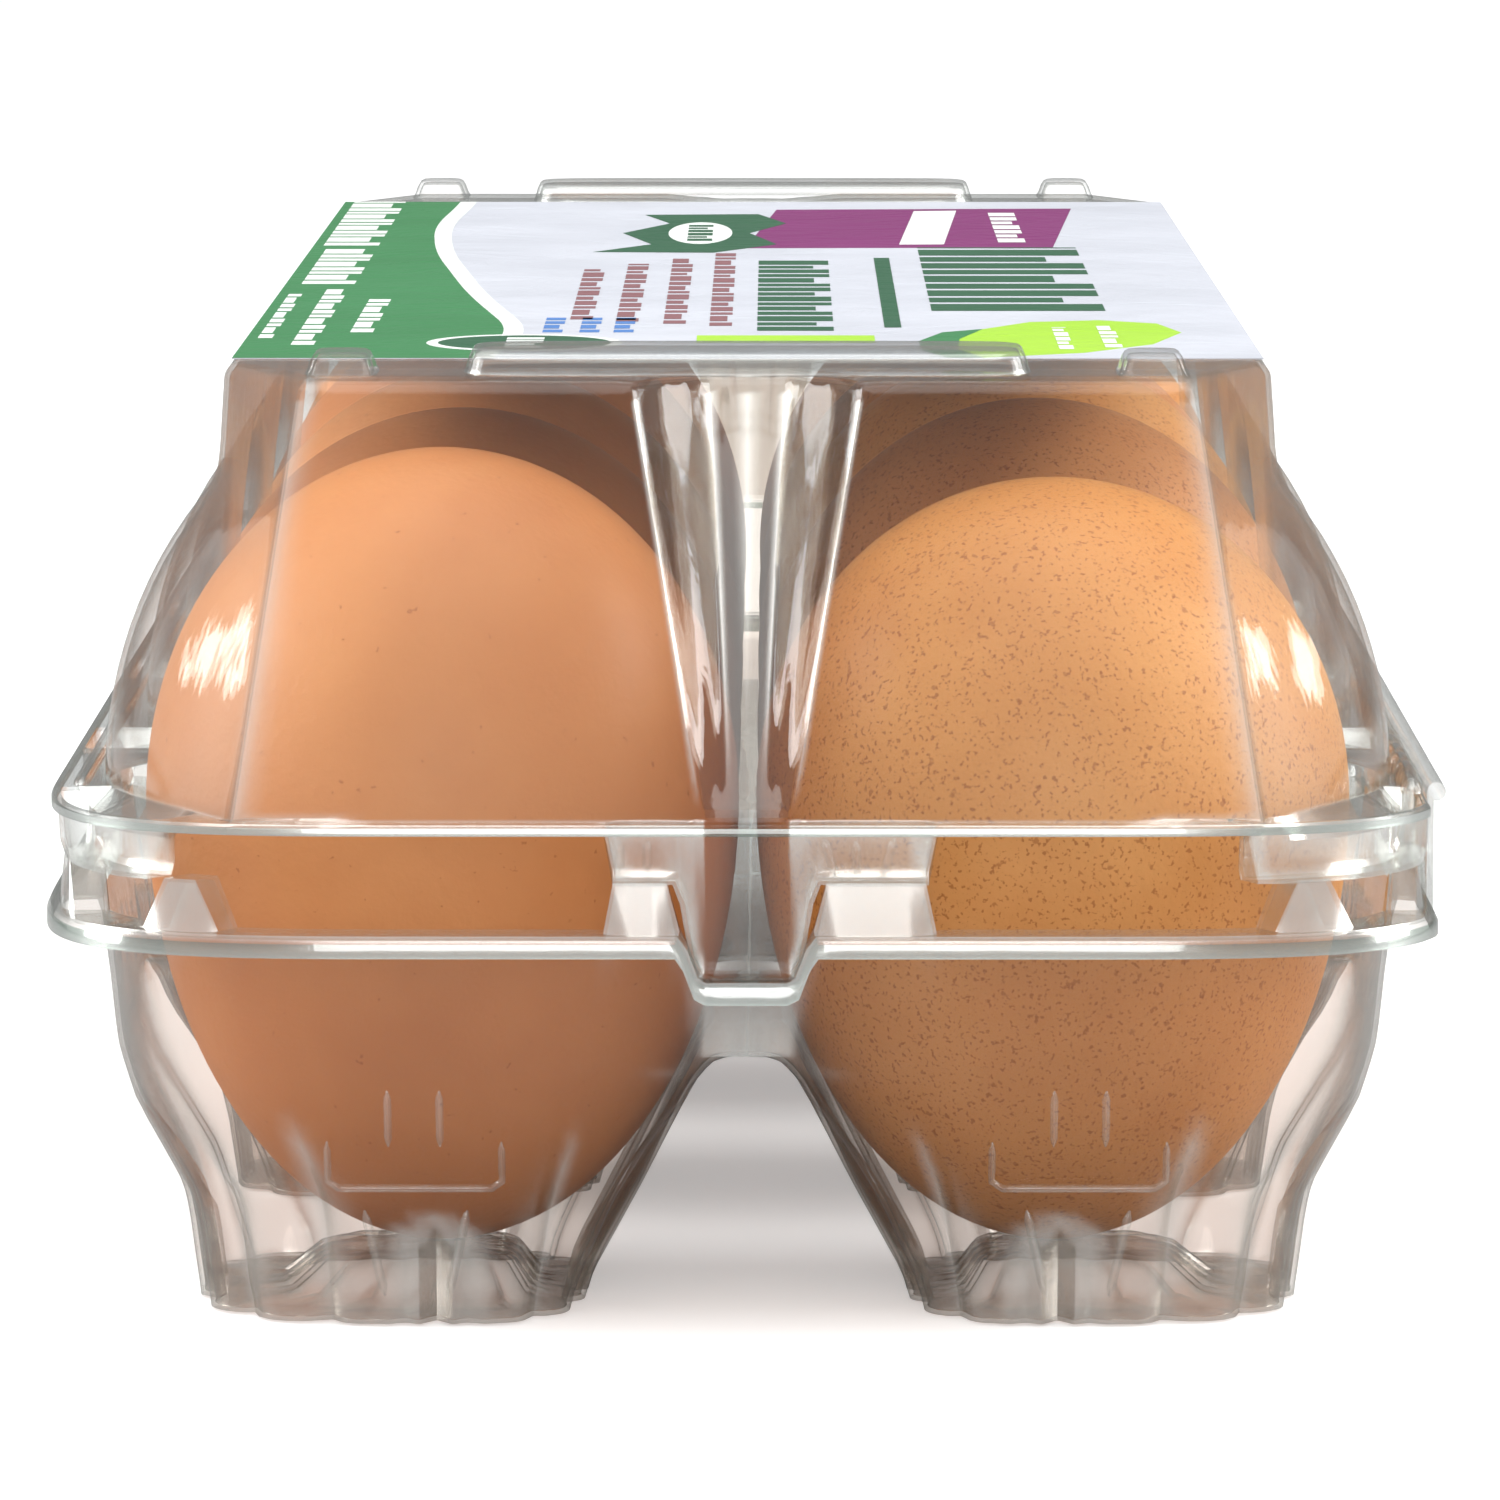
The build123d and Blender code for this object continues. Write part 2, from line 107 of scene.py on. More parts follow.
def shell_material(name, light, dark, freckles, offset):
    """Eggshell: cloudy two-tone brown, fine pores, and freckles of pigment."""
    made, tree, out = new_material(name)
    link = tree.links.new
    where = node(tree, "ShaderNodeTexCoord")
    shift = node(tree, "ShaderNodeMapping", in_Location=offset)
    link(where.outputs["Object"], shift.inputs["Vector"])
    cloud = node(tree, "ShaderNodeTexNoise", in_Scale=42.0, in_Detail=4.0, in_Roughness=0.55)
    link(shift.outputs[0], cloud.inputs["Vector"])
    tone = node(tree, "ShaderNodeValToRGB")
    tone.color_ramp.elements[0].position = 0.36
    tone.color_ramp.elements[1].position = 0.66
    tone.color_ramp.elements[0].color = (*dark, 1)
    tone.color_ramp.elements[1].color = (*light, 1)
    link(cloud.outputs["Fac"], tone.inputs["Fac"])
    colour = tone.outputs["Color"]
    pigment = tuple(c * s for c, s in zip(dark, (0.52, 0.36, 0.28)))
    for scale, edge, spread, amount in freckles:
        spots = node(tree, "ShaderNodeTexNoise", in_Scale=scale, in_Detail=2.0, in_Roughness=0.5)
        link(shift.outputs[0], spots.inputs["Vector"])
        sharp = node(tree, "ShaderNodeMapRange", in_From_Min=edge, in_From_Max=edge + spread,
                     in_To_Max=amount)
        link(spots.outputs["Fac"], sharp.inputs["Value"])
        mix = node(tree, "ShaderNodeMix", data_type="RGBA")
        link(sharp.outputs[0], mix.inputs[0])
        link(colour, mix.inputs[6])
        mix.inputs[7].default_value = (*pigment, 1)
        colour = mix.outputs[2]
    pores = node(tree, "ShaderNodeTexNoise", in_Scale=1500.0, in_Detail=2.0)
    link(where.outputs["Object"], pores.inputs["Vector"])
    swell = node(tree, "ShaderNodeTexNoise", in_Scale=160.0, in_Detail=3.0)
    link(where.outputs["Object"], swell.inputs["Vector"])
    both = node(tree, "ShaderNodeMath", operation="MULTIPLY_ADD")
    both.inputs[1].default_value = 1.6
    link(swell.outputs["Fac"], both.inputs[0])
    link(pores.outputs["Fac"], both.inputs[2])
    bump = node(tree, "ShaderNodeBump", in_Strength=0.35, in_Distance=0.00012)
    link(both.outputs[0], bump.inputs["Height"])
    body = node(tree, "ShaderNodeBsdfPrincipled", in_Roughness=0.52, in_IOR=1.4)
    body.inputs["Subsurface Weight"].default_value = 0.12
    body.inputs["Subsurface Radius"].default_value = (0.004, 0.0018, 0.001)
    body.inputs["Coat Weight"].default_value = 0.08
    body.inputs["Coat Roughness"].default_value = 0.35
    link(colour, body.inputs["Base Color"])
    link(bump.outputs[0], body.inputs["Normal"])
    link(body.outputs[0], out.inputs["Surface"])
    return made


for index, (row, side, cad_name) in enumerate(EGG_NAMES):
    low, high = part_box(cad_name)
    axis_x, axis_y = (low.x + high.x) / 2, (low.y + high.y) / 2
    radius = (high.x - low.x) / 2 - EGG_EASE
    clear_selection()
    bpy.ops.mesh.primitive_uv_sphere_add(
        segments=96, ring_count=64, radius=radius, location=(axis_x, axis_y, EGG_WIDEST)
    )
    egg = bpy.context.object
    for top in (True, False):
        bpy.ops.object.mode_set(mode="EDIT")
        bpy.ops.mesh.select_all(action="DESELECT")
        bpy.ops.object.mode_set(mode="OBJECT")
        for v in egg.data.vertices:
            v.select = v.co.z > 1e-6 if top else v.co.z < -1e-6
        bpy.ops.object.mode_set(mode="EDIT")
        stretch = (BLUNTNESS[index] * (high.z - EGG_WIDEST) if top else EGG_WIDEST - low.z) / radius
        bpy.ops.transform.resize(value=(1, 1, stretch), center_override=(axis_x, axis_y, EGG_WIDEST))
    bpy.ops.object.mode_set(mode="OBJECT")
    finish_piece(egg, f"shell_{row}_{side}", 180)
    light, dark = SHELL_TINTS[index % len(SHELL_TINTS)]
    pair = index - index % 2  # the two eggs of a row share the place of their clouding and freckles
    offset = (0.013 * pair, 0.029 * pair, 0.007 * pair)
    egg.data.materials.append(shell_material(f"eggshell_{row}_{side}", light, dark, FRECKLES[side], offset))
    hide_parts(cad_name)
    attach(egg, cad_name)


# ---------------------------------------------------------------- tray
# Lower half of the formed sheet: ten fluted cells on flat feet, ridges between them, a flange round
# the rim and hollow lugs that hold the lid off it. Vacuum formed from clear PET sheet in one pull.
SHEET = 0.4  # wall, millimetres, as are all sizes of the sheet below
COLUMN = 23.0  # egg axis from the middle
PITCH = 47.0
END_ROW = 2 * PITCH
RIDGE = 21.0  # crest height of the ridges between cells
TRAY_RIM = 30.2
LID_RIM = 38.6
EDGE = 29.0  # egg axis to the flange's edge
WALL_RIDGE = 24.4  # egg axis to the wall at the ridge's height
ROUND = 3.4  # power of the rounded corners' superellipse
SIDE_STEPS = 33  # points along each side of a cell
END_STATIONS = [  # points along a cell's ends, close together at the lugs' sides
    0, 1, 2, 3, 3.8, 4.6, 5.2, 6.0, 7.0, 8.2, 9.5, 10.2, 11.4, 12.8, 13.6, 15, 16.6, 18.2, 19.8, 21.4, 23,
    24.6, 26.2, 27.8, 29.4, 31, 32.6, 34.4, 36.4, 37.2, 39, 41.5, 44, 47.4,
]
TRAY_HINGE_EDGE = 50.6  # flange edges on the hinge side, from the middle
LID_HINGE_EDGE = 50.3
NO_LIMIT = 99.0
END_LUGS = ((-9.9, -5.4), (5.4, 13.3))  # tray lugs on the end flanges, across
CORNER_LUG = (37.5, 43.5)
CORNER_SIDE_LUG = (101.6, 107.4)
SIDE_LUG_ROWS = (PITCH / 2, PITCH * 1.5)
SIDE_LUG_HALF = 6.0
LUG_RISE = 3.8
TROUGH_HALF = 4.3
TROUGH_DEPTH = 3.4


def clear_sheet_material(name, tint, edge_tint, streak, mirror=0.022, crease_share=0.3):
    """Clear formed PET: glossy thin sheet that lets light straight through, greyer where seen edge on."""
    made, tree, out = new_material(name)
    link = tree.links.new
    where = node(tree, "ShaderNodeTexCoord")
    ripple = node(tree, "ShaderNodeTexNoise", in_Scale=95.0, in_Detail=2.0, in_Roughness=0.45)
    link(where.outputs["Object"], ripple.inputs["Vector"])
    drawn = node(tree, "ShaderNodeMapping", in_Scale=(streak, streak, 60.0))
    link(where.outputs["Object"], drawn.inputs["Vector"])
    lines = node(tree, "ShaderNodeTexNoise", in_Scale=1.0, in_Detail=3.0)
    link(drawn.outputs[0], lines.inputs["Vector"])
    relief = node(tree, "ShaderNodeMath", operation="MULTIPLY_ADD")
    relief.inputs[1].default_value = 0.25
    link(lines.outputs["Fac"], relief.inputs[0])
    link(ripple.outputs["Fac"], relief.inputs[2])
    bump = node(tree, "ShaderNodeBump", in_Strength=0.5, in_Distance=0.0004)
    link(relief.outputs[0], bump.inputs["Height"])
    facing = node(tree, "ShaderNodeLayerWeight", in_Blend=0.5)
    link(bump.outputs[0], facing.inputs["Normal"])
    slant = node(tree, "ShaderNodeMath", operation="POWER")
    slant.inputs[1].default_value = 2.6
    link(facing.outputs["Facing"], slant.inputs[0])
    haze = node(tree, "ShaderNodeMix", data_type="RGBA")
    haze.inputs[6].default_value = (*tint, 1)
    haze.inputs[7].default_value = (*edge_tint, 1)
    link(slant.outputs[0], haze.inputs[0])
    through = node(tree, "ShaderNodeBsdfTransparent")
    link(haze.outputs[2], through.inputs["Color"])
    gloss = node(tree, "ShaderNodeBsdfGlossy", in_Roughness=0.05)
    gloss.inputs["Color"].default_value = (0.97, 0.98, 0.97, 1)
    link(bump.outputs[0], gloss.inputs["Normal"])
    steep = node(tree, "ShaderNodeMath", operation="POWER")
    steep.inputs[1].default_value = 3.8
    link(facing.outputs["Facing"], steep.inputs[0])
    shine = node(tree, "ShaderNodeMath", operation="MULTIPLY_ADD")
    shine.inputs[1].default_value = 0.72
    shine.inputs[2].default_value = mirror
    link(steep.outputs[0], shine.inputs[0])
    mix = node(tree, "ShaderNodeMixShader")
    link(shine.outputs[0], mix.inputs[0])
    link(through.outputs[0], mix.inputs[1])
    link(gloss.outputs[0], mix.inputs[2])
    crease = node(tree, "ShaderNodeAttribute", attribute_name="crease")
    narrow = node(tree, "ShaderNodeMath", operation="POWER")
    narrow.inputs[1].default_value = 1.8
    link(crease.outputs["Fac"], narrow.inputs[0])
    amount = node(tree, "ShaderNodeMath", operation="MULTIPLY")
    amount.inputs[1].default_value = crease_share
    link(narrow.outputs[0], amount.inputs[0])
    glint = node(tree, "ShaderNodeBsdfGlossy", in_Roughness=0.22)
    glint.inputs["Color"].default_value = (0.93, 0.95, 0.93, 1)
    line = node(tree, "ShaderNodeMixShader")
    link(amount.outputs[0], line.inputs[0])
    link(mix.outputs[0], line.inputs[1])
    link(glint.outputs[0], line.inputs[2])
    link(line.outputs[0], out.inputs["Surface"])
    return made


CLEAR = clear_sheet_material("clear_pet", (0.99, 0.992, 0.99), (0.80, 0.815, 0.805), 260.0)
CUT_EDGE = clear_sheet_material(
    "clear_pet_edge", (0.60, 0.66, 0.62), (0.30, 0.35, 0.32), 260.0, mirror=0.12, crease_share=0.35)
# Painted shade: the groove's sheet is tinted darker and browner than the rest, standing in for the shade and
# egg colour seen through the groove.
GROOVE_PAINTED_SHADE = clear_sheet_material(
    "clear_pet_groove_painted_shade", (0.80, 0.76, 0.72), (0.5, 0.48, 0.45), 420.0, mirror=0.05)
# Painted shade: the tray's sheet is tinted warm grey, darker than the lid's clear sheet, so the eggs' lower
# halves in the cells look darker, seen and lit through it.
TRAY_CLEAR_PAINTED_SHADE = clear_sheet_material("clear_pet_tray_painted_shade", (0.952, 0.928, 0.912), (0.70, 0.715, 0.70), 240.0)
MARK_CLEAR = clear_sheet_material(
    "clear_pet_marks", (0.99, 0.985, 0.98), (0.62, 0.64, 0.62), 240.0, mirror=0.03, crease_share=0.07)


class Skin:
    """Points and faces of one sheet, built ring by ring."""

    def __init__(self):
        self.points, self.faces = [], []

    def ring(self, xy, z):
        """Adds a ring of points, (n, 2) and a height or n heights, and gives their numbers."""
        first = len(self.points)
        heights = np.broadcast_to(z, len(xy))
        self.points += [(x, y, h) for (x, y), h in zip(xy, heights)]
        return list(range(first, len(self.points)))

    def band(self, a, b, turned=False, closed=True):
        """Quads between two rings. They face away from the ring's middle if b is above a."""
        n = len(a)
        for i in range(n if closed else n - 1):
            j = (i + 1) % n
            self.faces.append((a[i], b[i], b[j], a[j]) if turned else (a[i], a[j], b[j], b[i]))

    def cap(self, a):
        self.faces.append(tuple(a))

    def piece(self, name, wall=SHEET, angle=38):
        mesh = bpy.data.meshes.new(name)
        mesh.from_pydata([tuple(c * MM for c in p) for p in self.points], [], self.faces)
        work = bmesh.new()
        work.from_mesh(mesh)
        bmesh.ops.remove_doubles(work, verts=work.verts, dist=0.02 * MM)
        bmesh.ops.dissolve_degenerate(work, edges=work.edges, dist=0.01 * MM)
        work.to_mesh(mesh)
        work.free()
        obj = bpy.data.objects.new(name, mesh)
        bpy.context.scene.collection.objects.link(obj)
        take(obj)
        grow = obj.modifiers.new("wall", "SOLIDIFY")
        grow.thickness = wall * MM
        grow.offset = -1
        bpy.ops.object.modifier_apply(modifier=grow.name)
        work = bmesh.new()
        work.from_mesh(obj.data)
        sharp = []
        for vertex in work.verts:
            bend = [e.calc_face_angle(0) for e in vertex.link_edges if e.calc_length() > 0.5 * MM]
            sharp.append(float(smooth(math.degrees(max(bend, default=0)), 9, 42)))
        work.free()
        obj.data.attributes.new("crease", "FLOAT", "POINT").data.foreach_set("value", sharp)
        return finish_piece(obj, name, angle)


def soft(z, heights, values, spread=0.7):
    """Value at height z of a broken line through (heights, values), with its corners rounded."""
    near = [np.interp(z + d * spread, heights, values) for d in (-1, -0.5, 0, 0.5, 1)]
    return sum(near) / len(near)


def smooth(x, low, high):
    """0 below low, 1 above high, and an even curve between."""
    t = np.clip((np.asarray(x, float) - low) / (high - low), 0, 1)
    return t * t * (3 - 2 * t)


def inside(x, low, high, soften=0.35):
    """1 between low and high, falling to 0 within soften of them."""
    return smooth(x, low - soften, low + soften) * (1 - smooth(x, high - soften, high + soften))


# How a cell's outline changes with height, each as heights and values: the gap to the ridge's line, how
# far in from the outer wall it stands, and the power of its superellipse. SOLE is the foot's hollow, as
# pairs of a share of the foot's outline and a height.
SHARED_GAP = ([0, 2, 8.7, 17, 19.4, 20.4, 20.85, 21], [12.0, 11.4, 7.9, 4.1, 3.0, 2.3, 1.3, 0])
OPEN_DROP = ([0, 6.4, 8.7, 15.2, 19.4, 21], [6.1, 5.3, 4.8, 1.4, 0.2, 0])
SQUARE = ([0, 3, 8.7, 15, 19, 20.9, 21], [3.2, 3.4, 4.2, 6, 10, 30, 60])
SOLE = ((0.95, 0.0), (0.8, 0.0), (0.66, 0.3), (0.58, 1.4), (0.52, 2.3), (0.46, 2.6), (0.2, 2.7))
CELL_HEIGHTS = [20.85, 20.4, 19.6, 18.4, 17, 15.4, 13.6, 11.8, 10.2, 9, 8, 7, 5.6, 4.2, 2.8, 1.6, 0.8,
                0.25, 0]


def cell_border(side, row):
    """Border of one cell: on the ridges' middle lines, and on the outer walls. Counter-clockwise."""
    x_wall = side * (COLUMN + WALL_RIDGE)
    xs = side * np.array(END_STATIONS)
    axis = (row - 2) * PITCH
    y0 = axis - (PITCH / 2 if row > 0 else WALL_RIDGE)
    y1 = axis + (PITCH / 2 if row < 4 else WALL_RIDGE)
    ys = np.linspace(y0, y1, SIDE_STEPS + 1)
    lower = [(x, y0) for x in xs]
    outer = [(x_wall, y) for y in ys]
    upper = [(x, y1) for x in xs[::-1]]
    inner = [(0, y) for y in ys[::-1]]
    loop = lower[:-1] + outer[:-1] + upper[:-1] + inner[:-1]
    return np.array(loop if side > 0 else [loop[0]] + loop[:0:-1], float)


def cell_ring(side, row, border, z):
    """Cell outline at height z, on the rays from the egg's axis through the border's points."""
    axis = np.array([side * COLUMN, (row - 2) * PITCH])
    away = border - axis
    angle = np.arctan2(away[:, 1], away[:, 0])
    cos, sin = np.cos(angle), np.sin(angle)
    gap, drop, power = soft(z, *SHARED_GAP, 0.15), soft(z, *OPEN_DROP), soft(z, *SQUARE, 0.05)
    open_x = cos * side > 0
    open_y = ((sin < 0) & (row == 0)) | ((sin > 0) & (row == 4))
    reach_x = np.where(open_x, WALL_RIDGE - drop, COLUMN - gap)
    reach_y = np.where(open_y, WALL_RIDGE - drop, PITCH / 2 - gap)
    powers = np.where(open_x & open_y, min(ROUND, power), power)
    r = (np.abs(cos / reach_x) ** powers + np.abs(sin / reach_y) ** powers) ** (-1 / powers)
    turn = np.abs((angle + math.pi / 4) % (math.pi / 2) - math.pi / 4)  # 0 at a side's middle, 45 at a corner
    in_corner = smooth(turn, math.radians(17), math.radians(24))
    deep = 1 - smooth(z, 9, 19.5)
    flute = np.abs(np.sin((turn - math.radians(45)) * 9)) ** 0.8
    rib = np.exp(-((turn / math.radians(7.5)) ** 2)) * (1 - smooth(z, 5, 9))
    r = r - deep * (1.6 * in_corner * (1 - flute)) - 1.6 * rib * (0.5 + 0.5 * np.cos(angle * 48))
    return axis + np.stack([r * cos, r * sin], 1)


def edge_ring(stations, reach, x_limit):
    """Ring round the whole carton, reach outside the outer egg axes, held back at the hinge's side."""
    rings = []
    for x, y in stations:
        dx, dy = abs(x) - COLUMN, abs(y) - END_ROW
        if dx > 0 and dy > 0:
            angle = math.atan2(dy, dx)
            r = ((math.cos(angle)) ** ROUND + (math.sin(angle)) ** ROUND) ** (-1 / ROUND) * reach
            px, py = COLUMN + r * math.cos(angle), END_ROW + r * math.sin(angle)
        elif dy > dx:
            px, py = abs(x), END_ROW + reach
        else:
            px, py = COLUMN + reach, abs(y)
        px, py = math.copysign(px, x), math.copysign(py, y)
        rings.append((min(px, x_limit), py))
    return np.array(rings)


def lug_share(stations):
    """1 where a lug stands on the flange, 0 in the windows between, for each point of a ring."""
    x, y = stations[:, 0], stations[:, 1]
    at_end = np.abs(y) > END_ROW + 20
    at_side = np.abs(x) > COLUMN + 20
    end_lugs = sum(inside(x, low, high) for low, high in END_LUGS) + inside(np.abs(x), *CORNER_LUG)
    row_lugs = sum(inside(np.abs(y), b - SIDE_LUG_HALF, b + SIDE_LUG_HALF) for b in SIDE_LUG_ROWS)
    side_lugs = inside(np.abs(y), *CORNER_SIDE_LUG) + row_lugs
    return np.clip(np.where(at_end, end_lugs, np.where(at_side, side_lugs, 0)), 0, 1)


def mark_cut_edge(obj, low, high, hinge_edge):
    """Gives the second material to the faces of the trimmed lip, which look darker edge on."""
    for face in obj.data.polygons:
        x, y, z = (c / MM for c in face.center)
        out_x, out_y = abs(x) - COLUMN, abs(y) - END_ROW
        if out_x > 0 and out_y > 0:
            reach = (out_x ** ROUND + out_y ** ROUND) ** (1 / ROUND)
        else:
            reach = max(out_x, out_y)
        if low < z < high and (reach > EDGE - 0.5 or x > hinge_edge - 0.5):
            face.material_index = 1


tray_skin = Skin()
perimeter = []
for side in (-1, 1):
    for row in range(5):
        border = cell_border(side, row)
        wall_points = edge_ring(border, WALL_RIDGE, NO_LIMIT)
        touches = (np.abs(np.abs(border[:, 0]) - COLUMN - WALL_RIDGE) < 0.01) | (
            np.abs(np.abs(border[:, 1]) - END_ROW - WALL_RIDGE) < 0.01
        )
        crest = np.where(touches[:, None], wall_points, border)
        perimeter += [(round(x, 4), round(y, 4)) for x, y in border[touches]]
        above = tray_skin.ring(crest, RIDGE)
        for z in CELL_HEIGHTS:
            below = tray_skin.ring(cell_ring(side, row, border, z), z)
            tray_skin.band(above, below, turned=True)
            above = below
        sole = cell_ring(side, row, border, 0)
        axis = np.array([side * COLUMN, (row - 2) * PITCH])
        for share, z in SOLE:
            below = tray_skin.ring(axis + (sole - axis) * share, z)
            tray_skin.band(above, below, turned=True)
            above = below
        tray_skin.cap(above[::-1])


def round_walk(point):
    """Sorts points of the outer rectangle counter-clockwise from its front left corner."""
    x, y = point
    if y < -END_ROW - WALL_RIDGE + 0.01:
        return 0, x
    if x > COLUMN + WALL_RIDGE - 0.01:
        return 1, y
    if y > END_ROW + WALL_RIDGE - 0.01:
        return 2, -x
    return 3, -y


stations = np.array(sorted(set(perimeter), key=round_walk))
lug = lug_share(stations)
trough = inside(stations[:, 0], -TROUGH_HALF, TROUGH_HALF, 0.9) * (np.abs(stations[:, 1]) > END_ROW)
below = tray_skin.ring(edge_ring(stations, WALL_RIDGE, NO_LIMIT), RIDGE)
TRAY_BROW = [  # reach, hinge-side limit, height, and whether the lugs raise and the trough sinks it
    (24.8, NO_LIMIT, 25.0, 0, 0),
    (25.3, NO_LIMIT, TRAY_RIM - 1.2, 0, 1),
    (25.7, 48.9, TRAY_RIM, 1, 1),
    (27.8, 49.4, TRAY_RIM, 1, 1),
    (28.2, 49.8, TRAY_RIM, 0, 1),
    (EDGE - 0.1, TRAY_HINGE_EDGE - 0.1, TRAY_RIM, 0, 1),
    (EDGE, TRAY_HINGE_EDGE, TRAY_RIM - 0.3, 0, 1),
    (EDGE, TRAY_HINGE_EDGE, TRAY_RIM - 1.3, 0, 1),
]
for reach, limit, height, raised, sunk in TRAY_BROW:
    heights = height + LUG_RISE * raised * lug - TROUGH_DEPTH * sunk * trough
    ring = tray_skin.ring(edge_ring(stations, reach, limit), heights)
    tray_skin.band(below, ring)
    below = ring
tray = tray_skin.piece("tray_sheet")
# The tray's sheet takes the warm grey tint that paints shade on the eggs' lower halves.
tray.data.materials.append(TRAY_CLEAR_PAINTED_SHADE)
tray.data.materials.append(CUT_EDGE)
mark_cut_edge(tray, TRAY_RIM - 5, TRAY_RIM - 0.25, TRAY_HINGE_EDGE)
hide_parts("tray")
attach(tray, "tray")

# Moulded marks on the front and rear of the end cells: two short upright pips over a shallow
# U-shaped ledge with a wider rib below it. They are part of the tray's sheet, raised by the mould.
mark_skin = Skin()


def raised_line(skin, path, across, proud, width):
    """A low half-round ridge along path, a list of points on a surface facing across."""
    steps = [(-0.5, 0.0), (-0.32, 0.75), (0, 1.0), (0.32, 0.75), (0.5, 0.0)]
    path = np.array(path, float)
    rows = []
    for i, p in enumerate(path):
        ahead = path[min(i + 1, len(path) - 1)] - path[max(i - 1, 0)]
        side = np.cross(ahead / np.linalg.norm(ahead), across)
        scale = 0.25 if i in (0, len(path) - 1) else 1
        pts = [p + side * width * o * scale + np.array(across) * proud * h * scale for o, h in steps]
        first = len(skin.points)
        skin.points += [tuple(q) for q in pts]
        rows.append(list(range(first, first + len(steps))))
    for a, b in zip(rows, rows[1:]):
        skin.band(a, b, closed=False)


def facet_y(z):
    """How far in front of the end row's axis the end facet stands at height z."""
    return WALL_RIDGE - soft(z, *OPEN_DROP) + 0.05


MARK_MIDDLE = 24.4  # middle of the marks, from the carton's
PIPS = [[(x, z) for z in np.linspace(18.4, 14.0, 8)] for x in (-1.9, 1.9)]
BOW = [(-6.4, z) for z in np.linspace(14.4, 11.2, 6)]
BOW += [(x, 10.6) for x in np.linspace(-5.6, 5.6, 12)]
BOW += [(6.4, z) for z in np.linspace(11.2, 14.4, 6)]
RIBS = [[(x * (3.8 - (8.8 - z) * 0.22), z) for z in np.linspace(8.8, 2.2, 10)] for x in (-1, 1)]
# Path, how proud it stands and how wide it is
MARKS = [(path, 0.35, 0.6) for path in PIPS] + [(BOW, 0.4, 0.6)] + [(path, 0.4, 0.7) for path in RIBS]
for end in (-1, 1):
    for side in (-1, 1):
        for path, proud, width in MARKS:
            points = [(side * MARK_MIDDLE + x, end * (END_ROW + facet_y(z)), z) for x, z in path]
            raised_line(mark_skin, points, (0, end, 0), proud, width)
marks = mark_skin.piece("tray_marks", 0.15, 50)
marks.data.materials.append(MARK_CLEAR)
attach(marks, "tray")

# ---------------------------------------------------------------- hinge
# Upright web of the same sheet between the two flanges on the right, with the crease bead that the
# lid turns on along its top. Formed with the tray, bent up once when the carton is closed.
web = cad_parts["hinge_strip"]
web.data.materials.clear()
web.data.materials.append(CLEAR)

# ---------------------------------------------------------------- lid
# Upper half of the formed sheet: ten domes joined into one flat-roofed block, with leaning end
# panels, a groove between the columns, square pillars between the domes and its own lugged flange.
ROOF = 69.9
LID_LEVELS = [LID_RIM, 38.9, 39.6, 40.8, 42.2, 43.8, 45.4, 47, 48.6, 50.2, 51.8, 53.4, 55, 56.6, 58.2, 59.6,
              60.8, 62, 63, 64, 64.9, 65.7, 66.4, 67, 67.6, 68.1, 68.5, 68.9, 69.2, 69.45, 69.65, 69.8,
              69.88, ROOF]
ROOF_EDGE = 1.2  # radius of the roof's edge
PANEL_FOOT, PANEL_LEAN = 121.0, 13.0  # end panel from the middle at the rim, and how far it leans in
CORNER_FOOT, CORNER_LEAN = 37.2, 4.6  # end panel's side edges, likewise
PILLAR_FOOT, PILLAR_LEAN = 41.3, 2.1
GROOVE_FOOT, GROOVE_SPREAD, GROOVE_DEPTH = 3.2, 5.4, 7.0
DOME_RADIUS, DOME_RISE = 25.4, 30.0
GROOVE_STEPS, SIDE_COUNT, CORNER_STEPS = 12, 120, 40
PANEL_STATIONS = [3.2, 3.8, 4.5, 5.2, 6.5, 8.0, 9.5, 10.2, 11.6, 13.0, 13.7, *np.linspace(15.2, 36.3, 15)]
PANEL_SHARES = (np.array(PANEL_STATIONS) - PANEL_STATIONS[0]) / (PANEL_STATIONS[-1] - PANEL_STATIONS[0])


def rounding(z):
    """How far the roof's rounded edge draws the walls in at height z."""
    over = max(0.0, z - ROOF + ROOF_EDGE)
    return ROOF_EDGE - math.sqrt(max(0.0, ROOF_EDGE ** 2 - over * over))


def dome_radius(z):
    return DOME_RADIUS * math.sqrt(max(0.0, 1 - ((z - LID_RIM) / DOME_RISE) ** 2))


def hull_reach(points, angles):
    """Distance from the middle to the convex hull of points, along each angle."""
    best = np.zeros(len(angles))
    pts = np.array(points)
    for i in range(len(pts)):
        for j in range(i + 1, len(pts)):
            (ax, ay), (bx, by) = pts[i], pts[j]
            dx, dy = bx - ax, by - ay
            den = np.cos(angles) * dy - np.sin(angles) * dx
            with np.errstate(divide="ignore", invalid="ignore"):
                r = (ax * dy - ay * dx) / den
                s = (ax * np.sin(angles) - ay * np.cos(angles)) / den
            hit = np.isfinite(r) & (r > 0) & (s >= -1e-9) & (s <= 1 + 1e-9)
            best = np.where(hit & (r > best), r, best)
    return best


